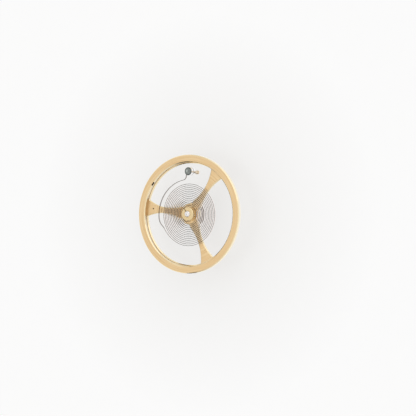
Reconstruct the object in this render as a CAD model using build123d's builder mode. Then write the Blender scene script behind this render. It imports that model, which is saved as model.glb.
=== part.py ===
"""Watch balance, complete: three-arm wheel on its staff, double roller and flat hairspring.

Sizes are in millimetres and angles in degrees. Z is the axis of the staff, and Z = 0 is the
tip of the lower pivot. The rollers hang below the wheel and the hairspring lies above its arms.
"""

import os
from math import acos, atan2, cos, degrees, hypot, pi, radians, sin, sqrt

from build123d import *

os.makedirs("parts", exist_ok=True)

# Sizes of the balance wheel
rim_radius = 5.0
rim_height = 0.50
rim_width = 0.625
rim_outer_chamfer = 0.06
rim_inner_chamfer = 0.065
rim_foot_chamfer = 0.20
window_ledge = 0.09
web_thickness = 0.155
web_bevel = 0.07
hub_margin = 0.18
hub_blend = 0.52
window_corner = 0.12
arm_count = 3
arm_angle = 54.3
arm_root_reach = 1.10
arm_root_half_width = 0.48
arm_waist_share = 0.48
arm_waist_half_width = 0.245
arm_tip_half_width = 0.76
poise_cut_angle = 146.0
poise_cut_length = 0.36
poise_cut_width = 0.08
poise_cut_depth = 0.12
arm_mark_angle = 174.3
arm_mark_reach = 3.76
arm_mark_radius = 0.06
arm_mark_depth = 0.035

# Sizes of the staff, from the lower pivot upwards
pivot_radius = 0.05
pivot_tip_chamfer = 0.012
pivot_flare = 0.07
lower_pivot_length = 0.18
lower_arbor_radius = 0.22
lower_arbor_length = 0.70
safety_seat_step = 0.02
impulse_seat_step = 0.06
roller_gap = 0.18
roller_stop_step = 0.08
roller_stop_length = 0.24
flange_radius = 0.75
flange_thickness = 0.22
wheel_seat_radius = 0.40
rivet_spread = 0.06
rivet_depth = 0.05
collet_seat_radius = 0.25
neck_step = 0.03
neck_taper = 0.03
neck_stand = 0.06
upper_pivot_length = 0.15
staff_edge_break = 0.02

# Sizes of the double roller and its jewel
safety_roller_radius = 0.70
safety_roller_thickness = 0.25
safety_boss_radius = 0.42
safety_boss_length = 0.12
crescent_radius = 0.20
crescent_depth = 0.12
impulse_roller_radius = 1.05
impulse_roller_thickness = 0.24
roller_edge_chamfer = 0.025
jewel_angle = 234.3
jewel_edge_wall = 0.08
jewel_radius = 0.15
jewel_flat_distance = 0.06
jewel_stand = 0.02
jewel_tip_gap = 0.05
jewel_clearance = 0.005

# Sizes of the collet
collet_radius = 0.59
collet_height = 0.52
collet_chamfer = 0.045
collet_slit_width = 0.07

# Sizes of the hairspring
strip_thickness = 0.035
strip_height = 0.13
strip_seat = 0.049
strip_clearance = 0.004
spring_lift = 0.195
coil_turns = 13
first_turn_gap = 0.13
coil_end_angle = 245.0
collet_elbow_radius = 0.15
inner_end_stand = 0.01
run_out_step = 0.394
run_out_sweep = 32.0
kick_radius = 0.80
kick_sweep = 12.3
kick_length = 0.28
turn_in_radius = 1.00
outer_curve_offset = 0.084
outer_curve_offset_angle = 231.0
outer_curve_sweep = 84.0
stud_bend_radius = 0.38
stud_bend_sweep = 78.0
stud_reach_step = 0.915
stud_elbow_radius = 0.14
gap_sample_step = 0.04

# Sizes of the stud and of the two taper pins
stud_radius = 0.34
stud_web_gap = 0.065
stud_rim_gap = 0.445
stud_rise = 0.54
stud_hole_offset = 0.075
stud_entry_gap = 0.02
stud_edge_chamfer = 0.035
stud_foot_chamfer = 0.05
stud_foot_taper = 0.012
stud_groove_rise = 0.15
stud_groove_depth = 0.03
stud_cup_radius = 0.20
stud_cup_depth = 0.03
stud_dimple_radius = 0.05
stud_dimple_depth = 0.05
outer_end_inset = 0.05
collet_pin_inset = 0.02
collet_pin_stand = 0.06
stud_pin_stand = 0.05
stud_pin_head_radius = 0.155
stud_pin_head_gap = 0.05
stud_pin_taper_length = 0.12
stud_pin_head_length = 0.32
stud_pin_head_chamfer = 0.04

# A square corner in degrees, and the overrun of every cut beyond the face it leaves
right_angle = 90.0
overrun = 0.10

# Radii that follow from the sizes above
rim_wall_radius = rim_radius - rim_width
window_radius = rim_wall_radius - window_ledge
hub_radius = flange_radius + hub_margin
arm_waist_reach = arm_root_reach + (rim_wall_radius - arm_root_reach) * arm_waist_share
safety_seat_radius = lower_arbor_radius + safety_seat_step
impulse_seat_radius = safety_seat_radius + impulse_seat_step
roller_stop_radius = impulse_seat_radius + roller_stop_step
neck_radius = collet_seat_radius - neck_step
jewel_reach = impulse_roller_radius - jewel_edge_wall - jewel_radius
first_turn_radius = collet_radius + first_turn_gap
stud_reach = rim_wall_radius - stud_rim_gap - stud_radius
coil_radius = stud_reach - stud_reach_step
coil_pitch = (coil_radius - first_turn_radius) / coil_turns
run_out_radius = coil_radius + run_out_step

# Heights up the staff
lower_shoulder_z = lower_pivot_length + pivot_flare
safety_roller_z = lower_shoulder_z + lower_arbor_length
safety_roller_top_z = safety_roller_z + safety_roller_thickness
safety_boss_z = safety_roller_top_z + safety_boss_length
impulse_roller_z = safety_boss_z + roller_gap
impulse_roller_top_z = impulse_roller_z + impulse_roller_thickness
flange_z = impulse_roller_top_z + roller_stop_length
rim_bottom_z = flange_z + flange_thickness
web_top_z = rim_bottom_z + web_thickness
rim_top_z = rim_bottom_z + rim_height
collet_top_z = web_top_z + collet_height
neck_top_z = collet_top_z + neck_stand
upper_pivot_z = neck_top_z + pivot_flare
staff_top_z = upper_pivot_z + upper_pivot_length
spring_z = web_top_z + spring_lift

jewel_tip_z = safety_roller_top_z + jewel_tip_gap
stud_foot_z = stud_web_gap - spring_lift

# Pin hole: round the strip's outer corners, with the pin's flat against the strip's inner face
pin_hole_radius = hypot(strip_seat, strip_height / 2) + strip_clearance
strip_offset = strip_seat - strip_thickness / 2
pin_flat_distance = strip_seat - strip_thickness
collet_hole_distance = (collet_seat_radius + collet_radius) / 2
collet_line_distance = collet_hole_distance + strip_offset
stud_line_distance = stud_hole_offset + strip_offset


def polar(radius, angle):
    """Point at a radius and an angle about the staff."""
    return (radius * cos(radians(angle)), radius * sin(radians(angle)))


def left_of(direction):
    """Level direction a quarter turn to the left."""
    return Vector(-direction.Y, direction.X, 0)


def bend_strip(pieces, radius, sweep_angle):
    """Carry the strip's middle line on round an arc, to the left where the angle is positive."""
    last = pieces[-1]
    pieces.append(JernArc(start=last @ 1, tangent=last % 1, radius=radius, arc_size=sweep_angle))


def run_strip(pieces, length):
    """Carry the strip's middle line straight on."""
    last = pieces[-1]
    pieces.append(Line(last @ 1, last @ 1 + (last % 1) * length))


def pin_section():
    """Round pin with the flat that presses on the strip, which lies on its local +X side."""
    Circle(pin_hole_radius)
    with Locations((pin_flat_distance + pin_hole_radius, 0)):
        Rectangle(2 * pin_hole_radius, 2 * pin_hole_radius, mode=Mode.SUBTRACT)


# Balance wheel: outline of one arm, drawn along +X
with BuildSketch() as arm_outline:
    with BuildLine():
        root_low = (arm_root_reach, -arm_root_half_width)
        root_high = (arm_root_reach, arm_root_half_width)
        waist_low = (arm_waist_reach, -arm_waist_half_width)
        waist_high = (arm_waist_reach, arm_waist_half_width)
        tip_low = (rim_wall_radius, -arm_tip_half_width)
        tip_high = (rim_wall_radius, arm_tip_half_width)
        ThreePointArc(root_low, waist_low, tip_low)
        Line(tip_low, tip_high)
        ThreePointArc(tip_high, waist_high, root_high)
        Polyline(root_high, (0, arm_root_half_width), (0, -arm_root_half_width), root_low)
    make_face()

# Balance wheel: the three windows that leave the arms between them
with BuildSketch(Plane.XY.offset(rim_bottom_z)) as windows:
    Circle(window_radius)
    Circle(hub_radius, mode=Mode.SUBTRACT)
    with PolarLocations(0, arm_count, start_angle=arm_angle):
        add(arm_outline.sketch, mode=Mode.SUBTRACT)
    corners = windows.vertices()
    middle_radius = (hub_radius + window_radius) / 2
    rim_corners = corners.filter_by(lambda v: hypot(v.X, v.Y) > middle_radius)
    hub_corners = corners.filter_by(lambda v: hypot(v.X, v.Y) < middle_radius)
    fillet(rim_corners, radius=window_corner)
    fillet(hub_corners, radius=hub_blend)

# Balance wheel: turned rim with polished chamfers, pierced web, poising cut and arm mark
with BuildPart() as balance_wheel:
    with BuildSketch(Plane.XZ):
        with BuildLine():
            Polyline(
                (rim_wall_radius, rim_bottom_z),
                (rim_radius - rim_foot_chamfer, rim_bottom_z),
                (rim_radius, rim_bottom_z + rim_foot_chamfer),
                (rim_radius, rim_top_z - rim_outer_chamfer),
                (rim_radius - rim_outer_chamfer, rim_top_z),
                (rim_wall_radius + rim_inner_chamfer, rim_top_z),
                (rim_wall_radius, rim_top_z - rim_inner_chamfer),
                close=True,
            )
        make_face()
    revolve(axis=Axis.Z)
    with BuildSketch(Plane.XY.offset(rim_bottom_z)):
        Circle(rim_wall_radius)
        Circle(wheel_seat_radius, mode=Mode.SUBTRACT)
    extrude(amount=web_thickness)
    add(extrude(windows.sketch, amount=web_thickness, mode=Mode.PRIVATE), mode=Mode.SUBTRACT)
    inner_limit = hub_radius - window_ledge
    outer_limit = window_radius + window_ledge / 2
    window_edges = (
        balance_wheel.edges()
        .group_by(lambda e: round(abs(e.center().Z - web_top_z) + abs((e @ 0).Z - web_top_z), 4))[0]
        .filter_by(lambda e: inner_limit < hypot((e @ 0.5).X, (e @ 0.5).Y) < outer_limit)
    )
    chamfer(window_edges, length=web_bevel)
    with BuildSketch(Plane.XZ):
        with BuildLine():
            Polyline(
                (0, web_top_z - rivet_depth),
                (wheel_seat_radius, web_top_z - rivet_depth),
                (wheel_seat_radius + rivet_spread, web_top_z),
                (0, web_top_z),
                close=True,
            )
        make_face()
    revolve(axis=Axis.Z, mode=Mode.SUBTRACT)
    with BuildSketch(Plane.XY.offset(rim_top_z - poise_cut_depth)):
        with PolarLocations(rim_wall_radius + rim_inner_chamfer / 2, 1, start_angle=poise_cut_angle):
            SlotOverall(poise_cut_length, poise_cut_width, rotation=right_angle)
    extrude(amount=poise_cut_depth + overrun, mode=Mode.SUBTRACT)
    with Locations(Plane.XY.offset(web_top_z)):
        with PolarLocations(arm_mark_reach, 1, start_angle=arm_mark_angle):
            Hole(arm_mark_radius, depth=arm_mark_depth)
balance_wheel.part.label = "balance_wheel"
export_step(balance_wheel.part, "parts/balance_wheel.step")

# Staff: one turned piece from pivot to pivot, riveted over the web of the wheel
with BuildPart() as balance_staff:
    with BuildSketch(Plane.XZ):
        with BuildLine():
            foot = Polyline(
                (0, 0),
                (pivot_radius - pivot_tip_chamfer, 0),
                (pivot_radius, pivot_tip_chamfer),
                (pivot_radius, lower_pivot_length),
            )
            lower_flare = JernArc(
                start=foot @ 1, tangent=foot % 1, radius=pivot_flare, arc_size=-right_angle
            )
            shaft = Polyline(
                lower_flare @ 1,
                (lower_arbor_radius - staff_edge_break, lower_shoulder_z),
                (lower_arbor_radius, lower_shoulder_z + staff_edge_break),
                (lower_arbor_radius, safety_roller_z),
                (safety_seat_radius, safety_roller_z),
                (safety_seat_radius, safety_boss_z),
                (impulse_seat_radius, safety_boss_z),
                (impulse_seat_radius, impulse_roller_top_z),
                (roller_stop_radius, impulse_roller_top_z),
                (roller_stop_radius, flange_z),
                (flange_radius - staff_edge_break, flange_z),
                (flange_radius, flange_z + staff_edge_break),
                (flange_radius, rim_bottom_z - staff_edge_break),
                (flange_radius - staff_edge_break, rim_bottom_z),
                (wheel_seat_radius, rim_bottom_z),
                (wheel_seat_radius, web_top_z - rivet_depth),
                (wheel_seat_radius + rivet_spread, web_top_z),
                (collet_seat_radius, web_top_z),
                (collet_seat_radius, collet_top_z),
                (neck_radius, collet_top_z + neck_taper),
                (neck_radius, neck_top_z - staff_edge_break),
                (neck_radius - staff_edge_break, neck_top_z),
                (pivot_radius + pivot_flare, neck_top_z),
            )
            upper_flare = JernArc(
                start=shaft @ 1, tangent=(-1, 0), radius=pivot_flare, arc_size=-right_angle
            )
            Polyline(
                upper_flare @ 1,
                (pivot_radius, staff_top_z - pivot_tip_chamfer),
                (pivot_radius - pivot_tip_chamfer, staff_top_z),
                (0, staff_top_z),
                (0, 0),
            )
        make_face()
    revolve(axis=Axis.Z)
balance_staff.part.label = "balance_staff"
export_step(balance_staff.part, "parts/balance_staff.step")

# Safety roller: small disc with its boss and the passing crescent under the jewel
with BuildPart() as safety_roller:
    with BuildSketch(Plane.XY.offset(safety_roller_z)):
        Circle(safety_roller_radius)
        with PolarLocations(
            safety_roller_radius + crescent_radius - crescent_depth, 1, start_angle=jewel_angle
        ):
            Circle(crescent_radius, mode=Mode.SUBTRACT)
    extrude(amount=safety_roller_thickness)
    chamfer(safety_roller.faces().sort_by(Axis.Z)[-1].edges(), length=roller_edge_chamfer)
    with BuildSketch(Plane.XY.offset(safety_roller_top_z)):
        Circle(safety_boss_radius)
    extrude(amount=safety_boss_length)
    with BuildSketch(Plane.XY.offset(safety_roller_z)):
        Circle(safety_seat_radius)
    extrude(amount=safety_boss_z - safety_roller_z, mode=Mode.SUBTRACT)
safety_roller.part.label = "safety_roller"
export_step(safety_roller.part, "parts/safety_roller.step")

# Impulse roller: the larger disc, with the hole that holds the jewel
jewel_plane = Plane(
    origin=(*polar(jewel_reach, jewel_angle), impulse_roller_z),
    x_dir=(*polar(1, jewel_angle), 0),
    z_dir=(0, 0, 1),
)
with BuildPart() as impulse_roller:
    with BuildSketch(Plane.XY.offset(impulse_roller_z)):
        Circle(impulse_roller_radius)
        Circle(impulse_seat_radius, mode=Mode.SUBTRACT)
    extrude(amount=impulse_roller_thickness)
    outer_edges = impulse_roller.edges().filter_by(GeomType.CIRCLE).group_by(SortBy.RADIUS)[-1]
    chamfer(outer_edges, length=roller_edge_chamfer)
    with BuildSketch(jewel_plane):
        Circle(jewel_radius + jewel_clearance)
        with Locations((jewel_flat_distance + jewel_clearance + jewel_radius, 0)):
            Rectangle(2 * jewel_radius, 4 * jewel_radius, mode=Mode.SUBTRACT)
    extrude(amount=impulse_roller_thickness, mode=Mode.SUBTRACT)
impulse_roller.part.label = "impulse_roller"
export_step(impulse_roller.part, "parts/impulse_roller.step")

# Impulse jewel: D-shaped ruby pin that hangs below its roller
with BuildPart() as impulse_jewel:
    with BuildSketch(jewel_plane.offset(jewel_tip_z - impulse_roller_z)):
        Circle(jewel_radius)
        with Locations((jewel_flat_distance + jewel_radius, 0)):
            Rectangle(2 * jewel_radius, 4 * jewel_radius, mode=Mode.SUBTRACT)
    extrude(amount=impulse_roller_top_z + jewel_stand - jewel_tip_z)
    chamfer(impulse_jewel.faces().sort_by(Axis.Z)[0].edges(), length=jewel_stand)
impulse_jewel.part.label = "impulse_jewel"
export_step(impulse_jewel.part, "parts/impulse_jewel.step")

# Collet frame: its pin hole runs along local X, on the local -Y side of the staff
elbow_drop = collet_line_distance - collet_elbow_radius
elbow_sweep = degrees(acos(elbow_drop / (first_turn_radius - collet_elbow_radius)))
collet_turn = coil_end_angle + elbow_sweep - 3 * right_angle
elbow_reach = sqrt((first_turn_radius - collet_elbow_radius) ** 2 - elbow_drop**2)
collet_half_chord = sqrt(collet_radius**2 - collet_hole_distance**2)
collet_frame = Plane(
    origin=(0, 0, spring_z),
    x_dir=(*polar(1, collet_turn), 0),
    z_dir=(0, 0, 1),
)
collet_hole_plane = Plane(
    origin=collet_frame.from_local_coords((collet_half_chord, -collet_hole_distance, 0)),
    x_dir=-collet_frame.y_dir,
    z_dir=-collet_frame.x_dir,
)

# Collet: slit brass ring, cross drilled for the spring and its pin
with BuildPart() as collet:
    with BuildSketch(Plane.XZ):
        with BuildLine():
            Polyline(
                (collet_seat_radius, web_top_z),
                (collet_radius - collet_chamfer, web_top_z),
                (collet_radius, web_top_z + collet_chamfer),
                (collet_radius, collet_top_z - collet_chamfer),
                (collet_radius - collet_chamfer, collet_top_z),
                (collet_seat_radius + collet_chamfer, collet_top_z),
                (collet_seat_radius, collet_top_z - collet_chamfer),
                close=True,
            )
        make_face()
    revolve(axis=Axis.Z)
    with BuildSketch(collet_frame.offset(web_top_z - spring_z)):
        with Locations((0, collet_radius / 2 + overrun / 2)):
            Rectangle(collet_slit_width, collet_radius + overrun)
    extrude(amount=collet_height, mode=Mode.SUBTRACT)
    with BuildSketch(collet_hole_plane.offset(-overrun)):
        Circle(pin_hole_radius)
    extrude(amount=2 * (collet_half_chord + overrun), mode=Mode.SUBTRACT)
collet.part.label = "collet"
export_step(collet.part, "parts/collet.step")

# Collet pin: wedges the inner end of the spring in the collet
with BuildPart() as collet_pin:
    with BuildSketch(collet_hole_plane.offset(-collet_pin_stand)):
        pin_section()
    extrude(amount=collet_pin_stand + 2 * collet_half_chord - collet_pin_inset)
collet_pin.part.label = "collet_pin"
export_step(collet_pin.part, "parts/collet_pin.step")

# Hairspring: one strip from the collet, thirteen turns, an outer curve and two bends at the stud
inner_end = collet_frame.from_local_coords(
    (collet_half_chord + inner_end_stand, -collet_line_distance, 0)
)
inner_elbow = collet_frame.from_local_coords((-elbow_reach, -collet_line_distance, 0))
stud_half_chord = sqrt(stud_radius**2 - stud_line_distance**2)
with BuildPart() as hairspring:
    with BuildLine():
        pieces = [Line(inner_end, inner_elbow)]
        bend_strip(pieces, collet_elbow_radius, -elbow_sweep)
        for half_turn in range(2 * coil_turns):
            bend_strip(pieces, first_turn_radius + half_turn * coil_pitch / 2, -2 * right_angle)
        bend_strip(pieces, run_out_radius, -run_out_sweep)
        bend_strip(pieces, kick_radius, kick_sweep)
        run_strip(pieces, kick_length)
        turn_side = left_of(pieces[-1] % 1)
        turn_centre = pieces[-1] @ 1 - turn_side * turn_in_radius
        curve_centre = polar(outer_curve_offset, outer_curve_offset_angle)
        curve_reach = turn_centre - Vector(*curve_centre, spring_z)
        turn_in_sweep = degrees(
            atan2(curve_reach.cross(turn_side).Z, curve_reach.dot(turn_side))
        )
        bend_strip(pieces, turn_in_radius, -turn_in_sweep)
        bend_strip(pieces, curve_reach.length + turn_in_radius, -outer_curve_sweep)
        bend_strip(pieces, stud_bend_radius, stud_bend_sweep)
        rise_end = stud_reach - stud_line_distance - stud_elbow_radius
        run_strip(pieces, rise_end - (pieces[-1] @ 1).dot(pieces[-1] % 1))
        bend_strip(pieces, stud_elbow_radius, -right_angle)
        stud_entry = pieces[-1] @ 1
        stud_direction = pieces[-1] % 1
        run_strip(pieces, stud_entry_gap + 2 * stud_half_chord - outer_end_inset)
    with BuildSketch(Plane(origin=inner_end, x_dir=(0, 0, 1), z_dir=pieces[0] % 0)):
        Rectangle(strip_height, strip_thickness)
    sweep()
hairspring.part.label = "hairspring"
export_step(hairspring.part, "parts/hairspring.step")

# Stud frame: X follows the strip into the stud, and the stud's axis passes its origin
stud_left = left_of(stud_direction)
stud_centre = (
    stud_entry + stud_direction * (stud_entry_gap + stud_half_chord) + stud_left * stud_line_distance
)
stud_frame = Plane(origin=stud_centre, x_dir=stud_direction, z_dir=(0, 0, 1))
stud_section_plane = Plane(origin=stud_centre, x_dir=stud_direction, z_dir=-stud_left)
stud_hole_plane = Plane(
    origin=stud_centre - stud_left * stud_hole_offset, x_dir=-stud_left, z_dir=stud_direction
)

# Stud: turned steel post with a cupped top, grooved between the shank and the drilled foot
with BuildPart() as hairspring_stud:
    with BuildSketch(stud_section_plane):
        with BuildLine():
            Polyline(
                (0, stud_foot_z),
                (stud_radius - stud_foot_taper - stud_foot_chamfer, stud_foot_z),
                (stud_radius - stud_foot_taper, stud_foot_z + stud_foot_chamfer),
                (stud_radius, stud_groove_rise - stud_groove_depth),
                (stud_radius - stud_groove_depth, stud_groove_rise),
                (stud_radius, stud_groove_rise + stud_groove_depth),
                (stud_radius, stud_rise - stud_edge_chamfer),
                (stud_radius - stud_edge_chamfer, stud_rise),
                (stud_cup_radius, stud_rise),
                (stud_dimple_radius, stud_rise - stud_cup_depth),
                (0, stud_rise - stud_cup_depth - stud_dimple_depth),
                close=True,
            )
        make_face()
    revolve(axis=Axis(stud_centre, (0, 0, 1)))
    with BuildSketch(stud_hole_plane):
        Circle(pin_hole_radius)
    extrude(amount=stud_radius + overrun, both=True, mode=Mode.SUBTRACT)
hairspring_stud.part.label = "hairspring_stud"
export_step(hairspring_stud.part, "parts/hairspring_stud.step")

# Stud pin: flatted where it presses on the strip, then a round thick end outside the stud
head_start = stud_radius + stud_pin_head_gap
with BuildPart() as stud_pin:
    with BuildSketch(stud_hole_plane.offset(-stud_radius - stud_pin_stand)):
        pin_section()
    extrude(amount=2 * stud_radius + stud_pin_stand + stud_pin_head_gap)
    with BuildSketch(Plane(origin=stud_hole_plane.origin, x_dir=stud_direction, z_dir=-stud_left)):
        with BuildLine():
            Polyline(
                (head_start, 0),
                (head_start, pin_hole_radius),
                (head_start + stud_pin_taper_length, stud_pin_head_radius),
                (head_start + stud_pin_head_length, stud_pin_head_radius),
                (head_start + stud_pin_head_length + stud_pin_head_chamfer, stud_pin_head_radius / 2),
                (head_start + stud_pin_head_length + stud_pin_head_chamfer, 0),
                close=True,
            )
        make_face()
    revolve(axis=Axis(stud_hole_plane.origin, stud_direction))
stud_pin.part.label = "stud_pin"
export_step(stud_pin.part, "parts/stud_pin.step")

# Least gap of the strip to itself, on points along its middle line
points = []
run = 0
for piece in pieces:
    steps = max(1, round(piece.length / gap_sample_step))
    for step in range(steps):
        place = piece @ (step / steps)
        points.append((run + piece.length * step / steps, place.X, place.Y))
    run += piece.length
skip_length = pi * first_turn_radius
least_gap = min(
    hypot(x - other_x, y - other_y)
    for index, (s, x, y) in enumerate(points)
    for other_s, other_x, other_y in points[index + 1 :]
    if other_s - s > skip_length
) - strip_thickness
print(f"hairspring: {coil_turns} turns, strip length {run:.1f} mm, least gap to itself {least_gap:.3f} mm")
print(f"stud axis at X {stud_centre.X:.3f}, Y {stud_centre.Y:.3f}, overall height {staff_top_z:.3f}")
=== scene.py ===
# %% [markdown]
# # A watch balance, complete, dressed for its picture
#
# The object is the part of a watch that beats: a gilt wheel with three arms, riveted to a steel
# staff, two steel rollers and a ruby below it, and above its arms a flat hairspring that runs from
# a brass collet on the staff to a small steel stud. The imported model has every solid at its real
# place and size. This file gives each of them its finish, makes the hairspring anew as a strip that
# can wind, and sets the floor, the light and the camera.

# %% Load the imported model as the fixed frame
from collections import namedtuple
from math import acos, atan2, ceil, cos, degrees, pi, radians, sin, sqrt

import bmesh
import bpy
from mathutils import Matrix, Vector
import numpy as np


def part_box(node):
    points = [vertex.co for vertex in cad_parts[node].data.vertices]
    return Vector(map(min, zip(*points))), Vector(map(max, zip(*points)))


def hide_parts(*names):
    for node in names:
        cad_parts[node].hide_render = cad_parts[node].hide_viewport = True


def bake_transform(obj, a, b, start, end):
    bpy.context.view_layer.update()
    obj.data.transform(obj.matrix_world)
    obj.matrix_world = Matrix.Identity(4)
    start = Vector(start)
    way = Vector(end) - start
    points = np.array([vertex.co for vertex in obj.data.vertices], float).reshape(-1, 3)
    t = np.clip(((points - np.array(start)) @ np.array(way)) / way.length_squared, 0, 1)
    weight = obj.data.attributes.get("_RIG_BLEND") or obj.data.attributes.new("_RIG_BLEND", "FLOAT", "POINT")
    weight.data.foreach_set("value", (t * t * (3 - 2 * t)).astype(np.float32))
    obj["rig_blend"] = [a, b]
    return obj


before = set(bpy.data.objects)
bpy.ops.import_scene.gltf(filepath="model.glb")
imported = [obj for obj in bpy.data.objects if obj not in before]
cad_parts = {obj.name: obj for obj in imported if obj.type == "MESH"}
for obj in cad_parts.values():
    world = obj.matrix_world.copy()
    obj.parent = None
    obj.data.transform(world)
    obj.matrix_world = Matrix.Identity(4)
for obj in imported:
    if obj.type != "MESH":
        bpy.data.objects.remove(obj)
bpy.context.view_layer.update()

MM = 0.001                         # a millimetre in the scene's metres
print("nodes:", sorted(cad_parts))

# %% [markdown]
# ## The frame of the photograph
#
# The camera looks down at the wheel from its right, 32.5 degrees off the staff. It could be an
# orthographic camera, since the photograph shows next to no perspective, but one with a long lens
# is better: other views then fill their frame too. Its aim is a point a little right of the wheel
# and above it, because the wheel stands left of the middle of the picture.

# %% Place the camera
VIEW_ANGLE = radians(32.5)         # between the line of sight and the staff
VIEW_ROLL = radians(1.5)           # turn of the picture about the line of sight
PICTURE_SIDE = 416                 # pixels
PIXELS_PER_MM = 11.9
WHEEL_PIXEL = (188.25, 214.0)      # where the middle of the rim's top plane stands
CAMERA_DISTANCE = 400.0 * MM
SENSOR = 36.0                      # width of the camera's film, in millimetres
CLIP_RANGE = (0.01, 10.0)          # nearest and farthest distance drawn, in metres

wheel_low, wheel_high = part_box("balance_wheel")
RIM_TOP = wheel_high.z
to_camera = Vector((sin(VIEW_ANGLE), 0.0, cos(VIEW_ANGLE)))
level_right = Vector((cos(VIEW_ANGLE), 0.0, -sin(VIEW_ANGLE)))
level_up = Vector((0.0, 1.0, 0.0))
picture_right = level_right * cos(VIEW_ROLL) + level_up * sin(VIEW_ROLL)
picture_up = level_up * cos(VIEW_ROLL) - level_right * sin(VIEW_ROLL)

shift_right = (PICTURE_SIDE / 2 - WHEEL_PIXEL[0]) / PIXELS_PER_MM * MM
shift_up = (WHEEL_PIXEL[1] - PICTURE_SIDE / 2) / PIXELS_PER_MM * MM
aim = Vector((0.0, 0.0, RIM_TOP)) + picture_right * shift_right + picture_up * shift_up

lens = bpy.data.cameras.new("picture_camera")
lens.sensor_width = SENSOR
lens.lens = SENSOR * CAMERA_DISTANCE / (PICTURE_SIDE / PIXELS_PER_MM * MM)
lens.clip_start, lens.clip_end = CLIP_RANGE
camera = bpy.data.objects.new("picture_camera", lens)
bpy.context.scene.collection.objects.link(camera)
turn = Matrix((picture_right, picture_up, to_camera)).transposed()
camera.matrix_world = Matrix.Translation(aim + to_camera * CAMERA_DISTANCE) @ turn.to_4x4()
bpy.context.scene.camera = camera
bpy.context.scene.view_settings.view_transform = "Standard"
print(f"lens {lens.lens:.0f} mm, frame {PICTURE_SIDE / PIXELS_PER_MM:.2f} mm wide at the rim")

# %% [markdown]
# ## Helpers for node trees
#
# A finish is a tree of shader nodes. Each node could be made and linked by hand, in four or five
# lines, but a tree of forty nodes is then hard to read. These short helpers each make one node and
# return the socket that comes out of it, so a finish reads like arithmetic on colours and numbers.

# %% Make a material and its nodes
def new_material(name):
    """A node material with one Principled shader, as (material, tree, shader)."""
    material = bpy.data.materials.new(name)
    material.use_nodes = True
    tree = material.node_tree
    return material, tree, tree.nodes["Principled BSDF"]


def node(tree, kind, inputs=(), **settings):
    """Adds a node, sets its properties, and links or sets its inputs."""
    made = tree.nodes.new(kind)
    for key, value in settings.items():
        setattr(made, key, value)
    for key, value in dict(inputs).items():
        if isinstance(value, bpy.types.NodeSocket):
            tree.links.new(value, made.inputs[key])
        else:
            made.inputs[key].default_value = value
    return made


# %% Numbers and vectors
def maths(tree, operation, *values, clamp=False):
    """The result of one Math node on sockets or numbers."""
    made = node(tree, "ShaderNodeMath", dict(enumerate(values)), operation=operation, use_clamp=clamp)
    return made.outputs[0]


def vector_maths(tree, operation, *values):
    """The result of one Vector Math node: a number for LENGTH and DOT_PRODUCT, else a vector."""
    made = node(tree, "ShaderNodeVectorMath", dict(enumerate(values)), operation=operation)
    return made.outputs["Value" if operation in ("LENGTH", "DOT_PRODUCT") else "Vector"]


def split(tree, vector):
    """The X, Y and Z of a vector, as three sockets."""
    parts = node(tree, "ShaderNodeSeparateXYZ", {"Vector": vector}).outputs
    return parts["X"], parts["Y"], parts["Z"]


def join(tree, x, y, z=0.0):
    """A vector made of three sockets or numbers."""
    return node(tree, "ShaderNodeCombineXYZ", {"X": x, "Y": y, "Z": z}).outputs[0]


# %% Ramps, mixes and noise
def rgba(colour):
    """A colour or a grey with its alpha, or a socket as it is."""
    if isinstance(colour, bpy.types.NodeSocket):
        return colour
    if hasattr(colour, "__len__"):
        return (*colour, 1.0)
    return (colour, colour, colour, 1.0)


def ramp(tree, factor, *stops):
    """A socket that goes through stops of (place, colour or grey)."""
    made = node(tree, "ShaderNodeValToRGB", {"Fac": factor})
    elements = made.color_ramp.elements
    while len(elements) < len(stops):
        elements.new(0.5)
    for element, (place, colour) in zip(elements, stops):
        element.position = place
        element.color = rgba(colour)
    return made.outputs["Color"]


def mix(tree, factor, first, second):
    """A mix of two colours, the first at 0 and the second at 1."""
    colours = {0: factor, 6: rgba(first), 7: rgba(second)}
    return node(tree, "ShaderNodeMix", colours, data_type="RGBA").outputs[2]


def noise(tree, vector, scale, detail=2.0):
    """The grey value of a noise texture."""
    made = node(tree, "ShaderNodeTexNoise", {"Vector": vector, "Scale": scale, "Detail": detail})
    return made.outputs["Fac"]


# %% [markdown]
# ## The floor
#
# The wheel stands on the tip of its lower pivot over a sheet of pale card, so large that every view
# from above has it behind. The card could simply be lit, but it would turn grey beside such bright
# metal. So a camera ray sees a glow for the most part, with a share of the lit card that keeps the
# soft shadow. The glow is a shade darker near the wheel than further out.
#
# A mirrored ray sees another glow. Polished bevels and walls are drawn by what they mirror, and
# here that is the card: bright where the ray falls steeply, dark where it grazes the card near the
# staff, as under a real wheel, and bright again further than about 6 mm from the staff.

# %% Card of the floor
FLOOR_HALF = 0.6                   # half of the sheet's side, in metres
CARD_COLOUR = (0.93, 0.925, 0.92)
CARD_FLECK_SHADE = 0.985           # how much darker the flecks in the card are
CARD_FLECKS = 900.0                # flecks in a metre
CAMERA_CARD = (0.90, 0.895, 0.885)
CAMERA_CARD_FAR = (1.0, 1.0, 1.0)
CAMERA_CARD_SHARE = 0.7            # how much of the card that the camera sees is glow
FAR_REACH = 20.0 * MM              # the seen card turns white from 0.25 to 0.85 of this
BESIDE_REACH = 10.4 * MM           # the mirrored card turns bright from 0.56 to 0.66 of this
BESIDE_GLOW = (0.90, 0.90, 0.90)
MIRRORED_BOOST = 0.08              # how much stronger the glow is for mirrored rays

floor_mesh = bpy.data.meshes.new("floor")
corners = [(x * FLOOR_HALF, y * FLOOR_HALF, 0.0) for x, y in ((-1, -1), (1, -1), (1, 1), (-1, 1))]
floor_mesh.from_pydata(corners, [], [(0, 1, 2, 3)])
floor = bpy.data.objects.new("floor", floor_mesh)
bpy.context.scene.collection.objects.link(floor)

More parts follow.
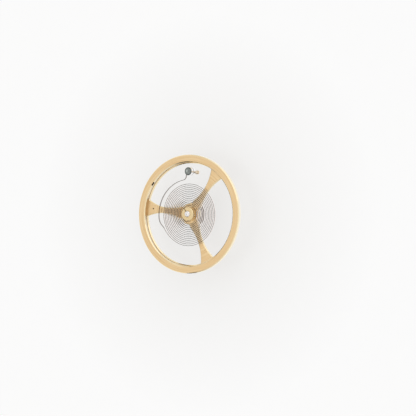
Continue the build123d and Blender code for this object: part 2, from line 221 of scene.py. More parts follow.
floor_finish, tree, shader = new_material("pale_card")
place = node(tree, "ShaderNodeTexCoord").outputs["Object"]
flecks = noise(tree, place, CARD_FLECKS, 3.0)
darker_card = tuple(c * CARD_FLECK_SHADE for c in CARD_COLOUR)
card = ramp(tree, flecks, (0.3, darker_card), (0.7, CARD_COLOUR))
tree.links.new(card, shader.inputs["Base Color"])
shader.inputs["Roughness"].default_value = 0.9
shader.inputs["Specular IOR Level"].default_value = 0.1

# %% Glow of the floor
path = node(tree, "ShaderNodeLightPath").outputs
mirrored = maths(tree, "ADD", path["Is Glossy Ray"], path["Is Transmission Ray"], clamp=True)
slant = node(tree, "ShaderNodeLayerWeight", {"Blend": 0.5}).outputs["Facing"]
shaded_glow = ramp(tree, slant, (0.19, 1.0), (0.44, 0.10), (1.0, 0.06))
from_staff = vector_maths(tree, "LENGTH", place)
beside = ramp(tree, maths(tree, "DIVIDE", from_staff, BESIDE_REACH), (0.56, 0.0), (0.66, 1.0))
mirrored_glow = mix(tree, beside, shaded_glow, BESIDE_GLOW)
far_out = ramp(tree, maths(tree, "DIVIDE", from_staff, FAR_REACH), (0.25, 0.0), (0.85, 1.0))
seen_card = mix(tree, far_out, CAMERA_CARD, CAMERA_CARD_FAR)
glow_colour = mix(tree, mirrored, seen_card, mirrored_glow)
glow_strength = maths(tree, "MULTIPLY_ADD", mirrored, MIRRORED_BOOST, 1.0)
glow = node(tree, "ShaderNodeEmission", {"Color": glow_colour, "Strength": glow_strength})
seen_share = maths(tree, "MULTIPLY", path["Is Camera Ray"], CAMERA_CARD_SHARE)
glow_share = maths(tree, "MAXIMUM", mirrored, seen_share)
layers = {0: glow_share, 1: shader.outputs[0], 2: glow.outputs[0]}
lit_card = node(tree, "ShaderNodeMixShader", layers).outputs[0]
tree.links.new(lit_card, tree.nodes["Material Output"].inputs["Surface"])
floor_mesh.materials.append(floor_finish)
print(f"floor: {2 * FLOOR_HALF:.1f} m square, {len(tree.nodes)} nodes in {floor_finish.name}")

# %% [markdown]
# ## The light
#
# The world is a soft tent of light. It could be an even grey, but a polished form shows only where
# what it mirrors changes, so the tent leans: it is bright about an axis that points up, to the
# right and away, falls off at a soft edge, and is dark beyond. A camera ray that passes the floor
# sees plain pale grey instead. Two square soft boxes add a gentle sheen and the floor's shadow.

# %% Light tent
TENT_AXIS = (0.50, 0.30, 0.81)
WORLD_SEEN = (0.89, 0.88, 0.87)

world = bpy.data.worlds.new("light_tent")
bpy.context.scene.world = world
world.use_nodes = True
tree = world.node_tree
background = tree.nodes["Background"]
direction = node(tree, "ShaderNodeTexCoord").outputs["Generated"]
lean = maths(tree, "MULTIPLY_ADD", vector_maths(tree, "DOT_PRODUCT", direction, TENT_AXIS), 0.5, 0.5)
tent = ramp(tree, lean, (0.25, 0.06), (0.34, 0.16), (0.40, 0.72), (0.70, 0.88), (1.0, 0.97))
seen = node(tree, "ShaderNodeLightPath").outputs["Is Camera Ray"]
tree.links.new(mix(tree, seen, tent, WORLD_SEEN), background.inputs["Color"])
background.inputs["Strength"].default_value = 1.0
print(f"{world.name}: {len(tree.nodes)} nodes, bright about {TENT_AXIS}")


# %% Soft boxes
def add_lamp(name, towards, distance, size, radiance):
    """A square soft box that looks at the wheel, as bright as its radiance says."""
    light = bpy.data.lights.new(name, "AREA")
    light.shape = "SQUARE"
    light.size = size
    light.energy = radiance * pi * size**2
    lamp = bpy.data.objects.new(name, light)
    bpy.context.scene.collection.objects.link(lamp)
    away = Vector(towards).normalized()
    lamp.location = Vector((0.0, 0.0, RIM_TOP)) + away * distance
    lamp.rotation_mode = "QUATERNION"
    lamp.rotation_quaternion = away.to_track_quat("Z", "Y")
    print(f"{name}: {size:.2f} m square, {light.energy:.3f} W")


add_lamp("key_box", towards=(0.55, 0.70, 0.50), distance=0.30, size=0.28, radiance=0.25)
add_lamp("top_box", towards=(-0.15, -0.10, 1.0), distance=0.35, size=0.12, radiance=1.5)

# %% [markdown]
# ## What every finish starts from
#
# A watchmaker finishes flat faces, bevels and walls in different ways: flats are lapped, bevels are
# burnished, and walls are polished along their length. Each could have a material of its own, but
# then the solids would need their faces sorted. The true normal says which kind a face is, so one
# material with three masks dresses a whole piece.
#
# Nearly every piece here was turned in a lathe or lapped on a turning plate, so its marks run round
# its own axis. They could be an anisotropic shader alone, but that shows nothing close to, so the
# marks are a noise that is long round the axis and fine across it. It moves the colour and the
# roughness a little, and a very low bump.

# %% Masks of flat, bevel and wall
FaceMasks = namedtuple("FaceMasks", "flat bevel wall")


def face_masks(tree):
    """A mask for each kind of face, by how level its true normal is."""
    normal = node(tree, "ShaderNodeNewGeometry").outputs["True Normal"]
    upward = split(tree, normal)[2]
    level = maths(tree, "ABSOLUTE", upward)
    flat = ramp(tree, level, (0.93, 0.0), (0.97, 1.0))
    wall = ramp(tree, level, (0.25, 1.0), (0.35, 0.0))
    bevel = maths(tree, "SUBTRACT", maths(tree, "SUBTRACT", 1.0, flat), wall, clamp=True)
    return FaceMasks(flat, bevel, wall)


# %% Places and marks round an axis
Turning = namedtuple("Turning", "place radius height direction")


def turning(tree, centre=(0.0, 0.0, 0.0)):
    """Where a point lies about an upright axis: its place, radius, height and level direction."""
    place = node(tree, "ShaderNodeTexCoord").outputs["Object"]
    place = vector_maths(tree, "SUBTRACT", place, centre)
    x, y, height = split(tree, place)
    level = join(tree, x, y)
    radius = vector_maths(tree, "LENGTH", level)
    return Turning(place, radius, height, vector_maths(tree, "NORMALIZE", level))


def turned_marks(tree, turned, pitch, waves=3.0, detail=2.0):
    """Noise that runs round an axis: a pitch apart across the marks, long along them."""
    across = maths(tree, "MULTIPLY", maths(tree, "ADD", turned.radius, turned.height), 1.0 / pitch)
    scaled = {0: turned.direction, "Scale": waves}
    along = node(tree, "ShaderNodeVectorMath", scaled, operation="SCALE").outputs["Vector"]
    x, y, _ = split(tree, along)
    return noise(tree, join(tree, x, y, across), 1.0, detail)


# %% Metal, relief and dressing
def between_marks(tree, marks, dark, bright):
    """A colour that goes from dark in the marks to bright between them."""
    return mix(tree, ramp(tree, marks, (0.35, 0.0), (0.65, 1.0)), dark, bright)


def make_metal(tree, shader, colour, roughness):
    """Makes the shader a metal with the colour and the roughness given as sockets."""
    tree.links.new(colour, shader.inputs["Base Color"])
    tree.links.new(roughness, shader.inputs["Roughness"])
    shader.inputs["Metallic"].default_value = 1.0


def add_bump(tree, shader, height, depth):
    """Bump of a noise, with its depth in metres."""
    bump = node(tree, "ShaderNodeBump", {"Height": height, "Distance": depth, "Strength": 1.0})
    tree.links.new(bump.outputs[0], shader.inputs["Normal"])


def dress(names, material):
    """Gives CAD nodes a material."""
    for name in names:
        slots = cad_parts[name].material_slots
        for slot in slots:
            slot.material = material
        print(f"{name}: {len(slots)} slot in {material.name}")


# %% [markdown]
# ## The gilt wheel: tones
#
# The wheel is gilt brass. Its flats are lapped to a soft sheen in fine rings, and gilding is never quite
# even, so the tone drifts over the whole wheel. One gold with a rough surface would look like plastic
# beside it. So the gold is mixed from several, each laid over the last one by a mask: drift, brown
# streaks of painted shade and bright streaks of painted sheen, where a ring would stay brown or catch
# the light, painted shade in the rings, and a greyer tone below the spring, which is the spring's
# painted shade and reflection on the arms.

# %% Sizes and tones of the gilt wheel
GILT_FLAT = (0.845, 0.615, 0.345)
# the tone of uneven gilding, also laid in the rings as painted shade
GILT_DRIFT_AND_RING_SHADE = (0.80, 0.56, 0.29)
# brown streaks: painted shade where a lapped ring would stay dark
GILT_STREAK_SHADE = (0.76, 0.52, 0.26)
# bright streaks: painted sheen where a lapped ring would catch the light
GILT_STREAK_SHEEN = (0.91, 0.71, 0.43)
# greyer tone below the spring: painted shade and reflection of the spring on the arms
GILT_SPRING_SHADE = (0.80, 0.65, 0.45)
GILT_BRIGHT = (0.95, 0.80, 0.52)
# painted reflection of the bright card on the walls
GILT_WALL_REFLECTION = (0.98, 0.88, 0.68)
# painted shade on the rim's inner wall
GILT_INNER_WALL_SHADE = (0.90, 0.76, 0.55)
# painted shade in the corner where an arm meets the rim
GILT_CORNER_SHADE = (0.42, 0.29, 0.18)
# painted shade inside the filed cut and the sink
PIT_SHADE = (0.055, 0.035, 0.02)
RING_PITCH = 0.030 * MM
FINE_RING_PITCH = 0.011 * MM
RING_SHARE = 0.6                   # share of the wide rings in the marks, beside the fine ones
STREAK_PITCH = 0.085 * MM
DRIFT_PER_METRE = 420.0
RIM_WIDTH = 0.625                  # millimetres, as the web's thickness
WEB_THICKNESS = 0.155
RIM_RADIUS = wheel_high.x
RIM_WALL_RADIUS = RIM_RADIUS - RIM_WIDTH * MM
WEB_TOP = wheel_low.z + WEB_THICKNESS * MM

# %% Gold of the flats
gilt, tree, shader = new_material("gilt_brass")
faces = face_masks(tree)
turned = turning(tree)
rings = turned_marks(tree, turned, RING_PITCH)
fine_rings = turned_marks(tree, turned, FINE_RING_PITCH, waves=6.0)
rings_part = maths(tree, "MULTIPLY", rings, RING_SHARE)
fine_rings_part = maths(tree, "MULTIPLY", fine_rings, 1 - RING_SHARE)
marks = maths(tree, "ADD", rings_part, fine_rings_part)
streaks = turned_marks(tree, turned, STREAK_PITCH, waves=1.6, detail=1.0)
drift = noise(tree, turned.place, DRIFT_PER_METRE, 3.0)
reach = maths(tree, "DIVIDE", turned.radius, RIM_RADIUS)
spring_shade = ramp(tree, reach, (0.16, 0.0), (0.24, 0.6), (0.46, 0.6), (0.53, 0.0))

colour = mix(tree, ramp(tree, drift, (0.42, 0.0), (0.75, 0.4)), GILT_FLAT, GILT_DRIFT_AND_RING_SHADE)
# painted shade in brown streaks, then painted sheen in bright streaks
colour = mix(tree, ramp(tree, streaks, (0.36, 0.55), (0.48, 0.0)), colour, GILT_STREAK_SHADE)
colour = mix(tree, ramp(tree, streaks, (0.54, 0.0), (0.66, 0.6)), colour, GILT_STREAK_SHEEN)
# painted shade in the rings' grooves
colour = mix(tree, ramp(tree, marks, (0.35, 0.35), (0.55, 0.0)), colour, GILT_DRIFT_AND_RING_SHADE)
# painted shade and reflection of the spring on the arms below it
colour = mix(tree, spring_shade, colour, GILT_SPRING_SHADE)
print(f"{gilt.name}: {len(tree.nodes)} nodes for the flats")

# %% [markdown]
# ## The gilt wheel: bevels, walls and roots
#
# The bevels are burnished bright. The walls are painted pale, a painted reflection of the bright
# card that they mirror, and only the rim's inner wall is a tone darker, painted shade inside the rim.
# It is browner still in the corner where an arm meets it, painted shade in that corner. That shade
# could be painted on the mesh, but the mesh is the imported model's. The shader finds the corner by
# angle instead: a point is at an arm's root where its direction from the staff is nearly the arm's
# own.

# %% Where the arms meet the rim
ARM_ANGLE = 54.3                   # of the first arm, in degrees
ARMS = 3
# how strong the painted shade in that corner is
CORNER_SHADE_SHARE = 0.6

along_arm = 0.0
for arm in range(ARMS):
    arm_angle = radians(ARM_ANGLE + 360 / ARMS * arm)
    arm_line = (cos(arm_angle), sin(arm_angle), 0.0)
    ahead = vector_maths(tree, "DOT_PRODUCT", turned.direction, arm_line)
    along_arm = maths(tree, "MAXIMUM", along_arm, ahead)
    print(f"arm at {degrees(arm_angle):.1f} degrees")
root = ramp(tree, along_arm, (0.965, 0.0), (0.985, 1.0))

# %% Gold of the bevels and walls
rim_inside = ramp(tree, reach, (0.868, 0.0), (0.872, 1.0), (0.93, 1.0), (0.96, 0.0))
# walls: painted reflection of the bright card, and painted shade on the rim's inner wall
wall_reflection_and_shade = mix(tree, rim_inside, GILT_WALL_REFLECTION, GILT_INNER_WALL_SHADE)
colour = mix(tree, faces.bevel, colour, GILT_BRIGHT)
colour = mix(tree, faces.wall, colour, wall_reflection_and_shade)
# painted shade in the corner where an arm meets the rim's inner wall
corner_shade = maths(tree, "MULTIPLY", maths(tree, "MULTIPLY", root, faces.wall), rim_inside)
colour = mix(tree, maths(tree, "MULTIPLY", corner_shade, CORNER_SHADE_SHARE), colour, GILT_CORNER_SHADE)
print(f"{gilt.name}: {len(tree.nodes)} nodes with the bevels and walls")

# %% [markdown]
# ## The gilt wheel: its two pits
#
# A short cut was filed into the rim's inner edge to poise the wheel, and one arm has a small round
# sink. Both are real hollows in the solid, but so small that light alone would hardly show them, so
# the shade inside them is painted. A mask takes what is near the middle of the pit and below the face
# around it, so the painted shade stays inside the hollow.

# %% Painted shade in the pits
POISE_CUT = (146.0, 4.4075 * MM)   # angle and radius of the middle of the filed cut
POISE_CUT_REACH = 0.19 * MM
ARM_SINK = (174.3, 3.76 * MM)
ARM_SINK_REACH = 0.063 * MM
PIT_LIP = 0.004 * MM               # how far below the face around it a pit turns dark
CUT_FRONT = 0.003 * MM             # how far behind the rim's inner wall the cut turns dark


def pit(tree, turned, spot, reach, below):
    """1 within a reach of a spot, given as angle and radius about the staff, and below a height."""
    angle, radius = spot
    x, y, _ = split(tree, turned.place)
    along_x = maths(tree, "SUBTRACT", x, radius * cos(radians(angle)))
    along_y = maths(tree, "SUBTRACT", y, radius * sin(radians(angle)))
    gap = vector_maths(tree, "LENGTH", join(tree, along_x, along_y))
    near = maths(tree, "LESS_THAN", gap, reach)
    return maths(tree, "MULTIPLY", near, maths(tree, "LESS_THAN", turned.height, below))


cut = pit(tree, turned, POISE_CUT, POISE_CUT_REACH, RIM_TOP - PIT_LIP)
cut = maths(tree, "MULTIPLY", cut, maths(tree, "SUBTRACT", 1.0, faces.bevel))
behind_wall = maths(tree, "GREATER_THAN", turned.radius, RIM_WALL_RADIUS + CUT_FRONT)
cut = maths(tree, "MULTIPLY", cut, behind_wall)
sink = pit(tree, turned, ARM_SINK, ARM_SINK_REACH, WEB_TOP - PIT_LIP)
# painted shade in the pits
colour = mix(tree, maths(tree, "MAXIMUM", cut, sink), colour, PIT_SHADE)
print(f"{gilt.name}: {len(tree.nodes)} nodes with the pits")

# %% [markdown]
# ## The gilt wheel: polish
#
# The flats scatter light a little, more where a ring is deep. Burnishing makes a bevel smoother and
# closes its marks, so the bevel mask takes roughness and relief away, but less at the arms' roots,
# where the burnisher has to turn and leaves the edge dull.

# %% Roughness and relief of the gilt wheel
BURNISHED = 0.65                   # share of the roughness that burnishing takes away
ROOT_DULLNESS = 0.9                # how much less that share is at an arm's root
BEVEL_SMOOTHNESS = 0.85            # share of the relief that burnishing takes away
GILT_RELIEF = 0.0010 * MM

flat_rough = maths(tree, "MULTIPLY_ADD", marks, 0.22, 0.20)
burnished = maths(tree, "MULTIPLY_ADD", root, -ROOT_DULLNESS, BURNISHED)
rough_share = maths(tree, "SUBTRACT", 1.0, maths(tree, "MULTIPLY", faces.bevel, burnished))
make_metal(tree, shader, colour, maths(tree, "MULTIPLY", flat_rough, rough_share))
smoothed = maths(tree, "MULTIPLY", faces.bevel, BEVEL_SMOOTHNESS)
relief_share = maths(tree, "SUBTRACT", 1.0, smoothed)
add_bump(tree, shader, maths(tree, "MULTIPLY", marks, relief_share), GILT_RELIEF)
dress(["balance_wheel"], gilt)

# %% [markdown]
# ## Steel of the staff and the rollers
#
# The staff and its rollers are hardened steel, polished in the lathe. They could be one even
# mirror, but the flats of the rollers are lapped on a plate, not turned, and come out satin. So
# flats that lie further out than the staff's shoulders get a rougher surface.

# %% Polished steel
STEEL_DARK = (0.84, 0.82, 0.81)
STEEL_BRIGHT = (0.94, 0.92, 0.91)
STEEL_PITCH = 0.012 * MM
STEEL_RELIEF = 0.0004 * MM
SATIN_FROM = 0.45 * MM             # radius from which the flats are satin
SATIN_ROUGHNESS = 0.65

steel, tree, shader = new_material("polished_steel")
turned = turning(tree)
marks = turned_marks(tree, turned, STEEL_PITCH, waves=4.0)
on_roller = maths(tree, "GREATER_THAN", turned.radius, SATIN_FROM)
satin = maths(tree, "MULTIPLY", face_masks(tree).flat, on_roller)
polish = maths(tree, "MULTIPLY_ADD", marks, 0.16, 0.10)
roughness = maths(tree, "MULTIPLY_ADD", satin, SATIN_ROUGHNESS, polish)
make_metal(tree, shader, between_marks(tree, marks, STEEL_DARK, STEEL_BRIGHT), roughness)
add_bump(tree, shader, marks, STEEL_RELIEF)
dress(["balance_staff", "impulse_roller", "safety_roller"], steel)

# %% [markdown]
# ## Ruby of the impulse jewel
#
# The jewel is clear red corundum, grown as a boule and ground to a D. It could be red glass, but
# corundum bends light more, which its index says, and a faint cloud in its red keeps it from
# looking like a lamp.

# %% Ruby
RUBY_DEEP = (0.62, 0.02, 0.07)
RUBY_LIGHT = (0.80, 0.05, 0.13)
RUBY_CLOUDS_PER_METRE = 9000.0

ruby, tree, shader = new_material("ruby")
place = node(tree, "ShaderNodeTexCoord").outputs["Object"]
cloud = noise(tree, place, RUBY_CLOUDS_PER_METRE, 3.0)
tree.links.new(mix(tree, cloud, RUBY_DEEP, RUBY_LIGHT), shader.inputs["Base Color"])
shader.inputs["Roughness"].default_value = 0.05
shader.inputs["IOR"].default_value = 1.76
shader.inputs["Transmission Weight"].default_value = 0.75
dress(["impulse_jewel"], ruby)

# %% [markdown]
# ## Brass of the collet and the pins
#
# The collet is brass, turned from the bar, with polished edges and a bright wall. The two pins are
# drawn brass wire, filed to a taper, so their marks have no axis, and a plain fine noise is better
# for them than turned marks. Both are bare metal, paler and less red than the gilding.

# %% Turned brass of the collet
COLLET_DARK = (0.76, 0.57, 0.30)
COLLET_BRIGHT = (0.88, 0.70, 0.42)
COLLET_WALL = (0.98, 0.89, 0.70)
COLLET_EDGE = (0.88, 0.71, 0.43)
COLLET_PITCH = 0.016 * MM
COLLET_RELIEF = 0.0008 * MM

collet_brass, tree, shader = new_material("turned_brass")
faces = face_masks(tree)
marks = turned_marks(tree, turning(tree), COLLET_PITCH, waves=4.0)
colour = between_marks(tree, marks, COLLET_DARK, COLLET_BRIGHT)
colour = mix(tree, faces.wall, colour, COLLET_WALL)
colour = mix(tree, faces.bevel, colour, COLLET_EDGE)
make_metal(tree, shader, colour, maths(tree, "MULTIPLY_ADD", marks, 0.22, 0.14))
add_bump(tree, shader, marks, COLLET_RELIEF)
dress(["collet"], collet_brass)

# %% Drawn brass of the pins
PIN_DARK = (0.80, 0.66, 0.48)
PIN_BRIGHT = (0.93, 0.82, 0.66)
PIN_SCRATCHES_PER_METRE = 45000.0
PIN_RELIEF = 0.0015 * MM

pin_brass, tree, shader = new_material("drawn_brass")
place = node(tree, "ShaderNodeTexCoord").outputs["Object"]
scratches = noise(tree, place, PIN_SCRATCHES_PER_METRE, 3.0)
colour = mix(tree, scratches, PIN_DARK, PIN_BRIGHT)
make_metal(tree, shader, colour, maths(tree, "MULTIPLY_ADD", scratches, 0.25, 0.18))
add_bump(tree, shader, scratches, PIN_RELIEF)
dress(["collet_pin", "stud_pin"], pin_brass)

# %% [markdown]
# ## Steel of the stud
#
# The stud is a turned steel post, gripped by its screw. Its wall is polished and pale, its top is
# dull grey, and a darker ring runs round the top's edge. The ring could be cut into the solid, but it
# has no depth, so it is a ramp over the distance from the stud's own axis. The middle of the stud's
# box gives that axis.

# %% Turned steel of the stud
STUD_DARK = (0.20, 0.22, 0.205)
STUD_BRIGHT = (0.36, 0.38, 0.36)
STUD_EDGE_RING = (0.13, 0.145, 0.135)
STUD_WALL = (0.93, 0.91, 0.90)
STUD_PITCH = 0.020 * MM
STUD_RELIEF = 0.0012 * MM

stud_low, stud_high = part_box("hairspring_stud")
stud_axis = ((stud_low.x + stud_high.x) / 2, (stud_low.y + stud_high.y) / 2, 0.0)
stud_steel, tree, shader = new_material("stud_steel")
turned = turning(tree, stud_axis)
marks = turned_marks(tree, turned, STUD_PITCH, waves=2.0)
radius_in_mm = maths(tree, "MULTIPLY", turned.radius, 1.0 / MM)
dark_edge_ring = ramp(tree, radius_in_mm, (0.20, 0.0), (0.27, 1.0))
top = between_marks(tree, marks, STUD_DARK, STUD_BRIGHT)
top = mix(tree, dark_edge_ring, top, STUD_EDGE_RING)
colour = mix(tree, face_masks(tree).wall, top, STUD_WALL)
make_metal(tree, shader, colour, maths(tree, "MULTIPLY_ADD", marks, 0.20, 0.18))
add_bump(tree, shader, marks, STUD_RELIEF)
dress(["hairspring_stud"], stud_steel)
print("stud axis in mm:", [round(c / MM, 4) for c in stud_axis])

# %% [markdown]
# ## The hairspring: its sizes
#
# A strip of spring steel, 0.035 mm thick and 0.13 mm tall, is wound flat in thirteen turns. It
# could be a curve with a bevel, but a mesh is better here: each point then knows how far along the
# strip it lies, and the strip can wind up as the wheel turns.
#
# The strip starts in a cross hole of the collet, beside its pin, and bends at an elbow into the
# first turn. After the last turn it leaves the coil by a wider arc, the run-out, and a small kick
# the other way. It then follows the outer curve, turns towards the stud and goes through it.

# %% Sizes of the strip and of its two seats, in millimetres and degrees
STRIP_THICKNESS = 0.035
STRIP_HEIGHT = 0.13
STRIP_SEAT = 0.049                 # from the axis of a cross hole to the strip's far face
STRIP_MIDDLE_Z = 2.55
COLLET_SEAT_RADIUS = 0.25          # of the staff where the collet sits
COLLET_RADIUS = 0.59
STUD_RADIUS = 0.34
STUD_HOLE_OFFSET = 0.075
RIM_OUTSIDE = 5.0
STUD_TO_RIM = 0.445                # free space between the stud and the rim
STUD_REACH = RIM_OUTSIDE - RIM_WIDTH - STUD_TO_RIM - STUD_RADIUS

# %% Sizes of the coil and of the outer curve, in millimetres and degrees
INNER_END_STAND = 0.01             # how far the inner end stands out of the collet
COLLET_ELBOW_RADIUS = 0.15
FIRST_TURN_RADIUS = COLLET_RADIUS + 0.13
COIL_RADIUS = STUD_REACH - 0.915
COIL_TURNS = 13
COIL_END_ANGLE = 245.0
COIL_PITCH = (COIL_RADIUS - FIRST_TURN_RADIUS) / COIL_TURNS
RUN_OUT_RADIUS = COIL_RADIUS + 0.394
RUN_OUT_SWEEP = 32.0
KICK_RADIUS = 0.80
KICK_SWEEP = 12.3
KICK_LENGTH = 0.28
TURN_IN_RADIUS = 1.00
OUTER_CURVE_OFFSET = 0.084         # of its middle from the staff, at the next angle
OUTER_CURVE_OFFSET_ANGLE = 231.0
OUTER_CURVE_SWEEP = 84.0
STUD_BEND_RADIUS = 0.38
STUD_BEND_SWEEP = 78.0
STUD_ELBOW_RADIUS = 0.14
STUD_ENTRY_GAP = 0.02
OUTER_END_INSET = 0.05             # how far the outer end stops inside the stud

strip_offset = STRIP_SEAT - STRIP_THICKNESS / 2
collet_line = (COLLET_SEAT_RADIUS + COLLET_RADIUS) / 2 + strip_offset
stud_line = STUD_HOLE_OFFSET + strip_offset
print(f"coil: {COIL_TURNS} turns, pitch {COIL_PITCH:.4f} mm, radius {COIL_RADIUS:.3f} mm")

# %% [markdown]
# ## The hairspring: its middle line
#
# The line could be one spiral formula, but the elbows, the kick and the outer curve have no such
# formula, and a coil of half circles, each a little wider than the last, can't be told from a
# spiral. So the line is walked piece by piece, straight or on an arc, like the track of a turtle,
# and every piece starts where the last one ended and in its direction.

# %% Walk along the strip
STRIP_STEP = 0.045                 # longest step along the strip, in millimetres
ARC_STEP_ANGLE = 6                 # widest step round an arc, in degrees
FEWEST_ARC_STEPS = 3


class StripWalk:
    """A point and a heading that go along the strip's middle line, keeping the stations passed."""

    def __init__(self, point, heading):
        self.point = Vector(point)
        self.heading = heading
        self.run = 0.0
        self.stations = [(self.point.copy(), heading, 0.0)]

    def ahead(self):
        return Vector((cos(self.heading), sin(self.heading)))

    def left(self):
        return Vector((-sin(self.heading), cos(self.heading)))

    def keep(self, point, heading, run):
        self.stations.append((point.copy(), heading, run))

    def straight(self, length, steps):
        """Goes straight ahead in even steps."""
        start, ahead = self.point.copy(), self.ahead()
        for step in range(1, steps + 1):
            passed = length * step / steps
            self.keep(start + ahead * length * step / steps, self.heading, self.run + passed)
        self.point, self.run = start + ahead * length, self.run + length

    def arc(self, radius, sweep):
        """Goes round an arc, to the left where the sweep, in degrees, is positive."""
        side = 1.0 if sweep > 0 else -1.0
        centre = self.point + self.left() * side * radius
        start, first, length = self.heading, self.run, radius * radians(abs(sweep))
        by_length, by_angle = ceil(length / STRIP_STEP), ceil(abs(sweep) / ARC_STEP_ANGLE)
        steps = max(FEWEST_ARC_STEPS, by_length, by_angle)
        for step in range(1, steps + 1):
            self.heading = start + radians(sweep) * step / steps
            self.point = centre - self.left() * side * radius
            self.run = first + length * step / steps
            self.keep(self.point, self.heading, self.run)


# %% From the collet round the coil
elbow_drop = collet_line - COLLET_ELBOW_RADIUS
elbow_sweep = degrees(acos(elbow_drop / (FIRST_TURN_RADIUS - COLLET_ELBOW_RADIUS)))
elbow_reach = sqrt((FIRST_TURN_RADIUS - COLLET_ELBOW_RADIUS) ** 2 - elbow_drop**2)
half_chord = sqrt(COLLET_RADIUS**2 - ((COLLET_SEAT_RADIUS + COLLET_RADIUS) / 2) ** 2)
collet_turn = radians(COIL_END_ANGLE - (270 - elbow_sweep))
collet_x = Vector((cos(collet_turn), sin(collet_turn)))
collet_y = Vector((-sin(collet_turn), cos(collet_turn)))
inner_end = collet_x * (half_chord + INNER_END_STAND) - collet_y * collet_line

walk = StripWalk(inner_end, collet_turn + pi)
walk.straight(half_chord + INNER_END_STAND + elbow_reach, steps=24)
collet_run = walk.run
walk.arc(COLLET_ELBOW_RADIUS, -elbow_sweep)
for half_turn in range(2 * COIL_TURNS):
    walk.arc(FIRST_TURN_RADIUS + half_turn * COIL_PITCH / 2, -180)
print(f"coil ends after {walk.run:.2f} mm of strip")

# %% From the coil to the stud
walk.arc(RUN_OUT_RADIUS, -RUN_OUT_SWEEP)
walk.arc(KICK_RADIUS, KICK_SWEEP)
walk.straight(KICK_LENGTH, steps=6)
turn_side = walk.left()
offset_angle = radians(OUTER_CURVE_OFFSET_ANGLE)
curve_middle = Vector((cos(offset_angle), sin(offset_angle))) * OUTER_CURVE_OFFSET
curve_reach = walk.point - turn_side * TURN_IN_RADIUS - curve_middle
curve_side = curve_reach.x * turn_side.y - curve_reach.y * turn_side.x
turn_in = degrees(atan2(curve_side, curve_reach.dot(turn_side)))
walk.arc(TURN_IN_RADIUS, -turn_in)
walk.arc(curve_reach.length + TURN_IN_RADIUS, -OUTER_CURVE_SWEEP)
walk.arc(STUD_BEND_RADIUS, STUD_BEND_SWEEP)
walk.straight(STUD_REACH - stud_line - STUD_ELBOW_RADIUS - walk.point.dot(walk.ahead()), steps=6)
walk.arc(STUD_ELBOW_RADIUS, -90)
stud_run = walk.run
walk.straight(STUD_ENTRY_GAP + 2 * sqrt(STUD_RADIUS**2 - stud_line**2) - OUTER_END_INSET, steps=12)
print(f"strip: {len(walk.stations)} stations, {walk.run:.2f} mm long")

# %% [markdown]
# ## The hairspring: its mesh
#
# Rolled strip has flat faces and round edges. A rectangle would catch no light on its edges, so the
# section is two half circles with a narrow shoulder of flat face kept beside each, which holds the
# smooth shading of the edge off the face. One such section stands at every station of the walk, and
# quads join each to the next.

# %% Section of the strip
STRIP_SHOULDER = 0.004             # flat part of the face kept beside the rounded edge
EDGE_ANGLES = range(0, 181, 45)    # of the points on the rounded edge, in degrees

edge_radius = STRIP_THICKNESS / 2
edge_middle = (STRIP_HEIGHT - STRIP_THICKNESS) / 2
upper_half = [(edge_radius, edge_middle - STRIP_SHOULDER)]
for angle in map(radians, EDGE_ANGLES):
    upper_half.append((edge_radius * cos(angle), edge_middle + edge_radius * sin(angle)))
upper_half.append((-edge_radius, edge_middle - STRIP_SHOULDER))
section = upper_half + [(-across, -up) for across, up in upper_half]
sides = len(section)
print(f"section: {sides} points, {2 * (edge_middle + edge_radius):.3f} mm tall")

# %% Points, weights and faces
points, weights, quads = [], [], []
for point, heading, run in walk.stations:
    left = Vector((-sin(heading), cos(heading)))
    share = min(max((run - collet_run) / (stud_run - collet_run), 0.0), 1.0)
    for across, up in section:
        spot = point + left * across
        points.append((spot.x * MM, spot.y * MM, (STRIP_MIDDLE_Z + up) * MM))
        weights.append(1.0 - share)
for station in range(len(walk.stations) - 1):
    here, there = station * sides, (station + 1) * sides
    for side in range(sides):
        following = (side + 1) % sides
        quads.append((here + side, there + side, there + following, here + following))
inner_cap = tuple(range(sides))
outer_cap = tuple(reversed(range(len(points) - sides, len(points))))
print(f"strip: {len(quads)} quads and two caps")

# %% Mesh of the strip
SHARP_ANGLE = radians(50)          # edges that turn more than this stay sharp

strip_mesh = bpy.data.meshes.new("hairspring_strip")
strip_mesh.from_pydata(points, [], quads + [inner_cap, outer_cap])
strip_mesh.validate()
shell = bmesh.new()
shell.from_mesh(strip_mesh)
bmesh.ops.recalc_face_normals(shell, faces=shell.faces)
for face in shell.faces:
    face.smooth = True
shell.to_mesh(strip_mesh)
shell.free()
strip_mesh.set_sharp_from_angle(angle=SHARP_ANGLE)
strip = bpy.data.objects.new("hairspring_strip", strip_mesh)
bpy.context.scene.collection.objects.link(strip)
print(f"strip: {len(strip_mesh.vertices)} points, {len(strip_mesh.polygons)} faces")

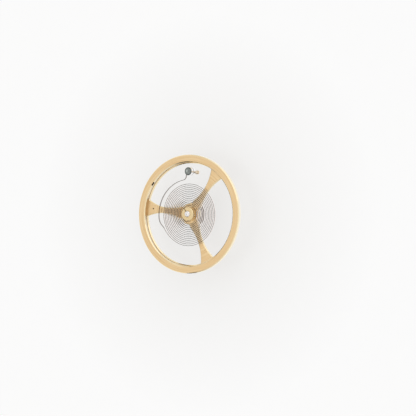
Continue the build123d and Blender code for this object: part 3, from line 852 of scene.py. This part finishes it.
# %% [markdown]
# ## The hairspring: its steel
#
# The faces of the strip are bright, as the rolls leave them, and its rounded edges are painted dark,
# a painted shade, so from above the coil is a set of thin dark lines and from the side a bright one.
# The outer curve's faces are painted browner than the coil's, a painted shade for the darker parts
# that they mirror. It lies further from the staff than any turn, so its radius is enough to find it.

# %% Spring steel
FACE_DARK = (0.89, 0.80, 0.76)
FACE_BRIGHT = (0.96, 0.88, 0.84)
# painted shade on the strip's rounded edges
EDGE_SHADE_DARK = (0.09, 0.09, 0.08)
EDGE_SHADE_LIGHT = (0.16, 0.16, 0.145)
# painted shade for the darker parts that the outer curve's faces mirror
OUTER_CURVE_SHADE = (0.46, 0.40, 0.375)
GRAIN_PER_METRE = 12000.0
COIL_EDGE = COIL_RADIUS + 0.06     # millimetres from the staff, just outside the last turn

spring_steel, tree, shader = new_material("spring_steel")
turned = turning(tree)
grain = noise(tree, turned.place, GRAIN_PER_METRE)
face_colour = mix(tree, grain, FACE_DARK, FACE_BRIGHT)
# painted shade on the rounded edges
edge_shade = mix(tree, grain, EDGE_SHADE_DARK, EDGE_SHADE_LIGHT)
outer_curve = maths(tree, "GREATER_THAN", turned.radius, COIL_EDGE * MM)
# painted shade on the outer curve's faces
face_colour = mix(tree, outer_curve, face_colour, OUTER_CURVE_SHADE)
colour = mix(tree, face_masks(tree).wall, edge_shade, face_colour)
make_metal(tree, shader, colour, maths(tree, "MULTIPLY_ADD", grain, 0.12, 0.22))
strip_mesh.materials.append(spring_steel)
print(f"{strip.name}: {len(tree.nodes)} nodes in {spring_steel.name}")

# %% [markdown]
# ## The hairspring winds
#
# In a running watch the wheel takes the spring's inner end along and the stud holds its outer end,
# and the turns between share the movement evenly. A blend between the two bodies does this, but its
# own weights go by a point's place, which would shear a spiral. So each point is given the weight
# of its station: 1 at the collet, 0 at the stud, and in between by the length of strip passed.

# %% Let the strip wind with the wheel
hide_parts("hairspring")
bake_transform(strip, "stud_side", "balance", start=(0.0, 0.0036, 0.00255), end=(0.0, 0.0, 0.00255))
strip_mesh.attributes["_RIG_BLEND"].data.foreach_set("value", weights)
print(f"weights from {min(weights):.1f} at the stud to {max(weights):.1f} at the collet")
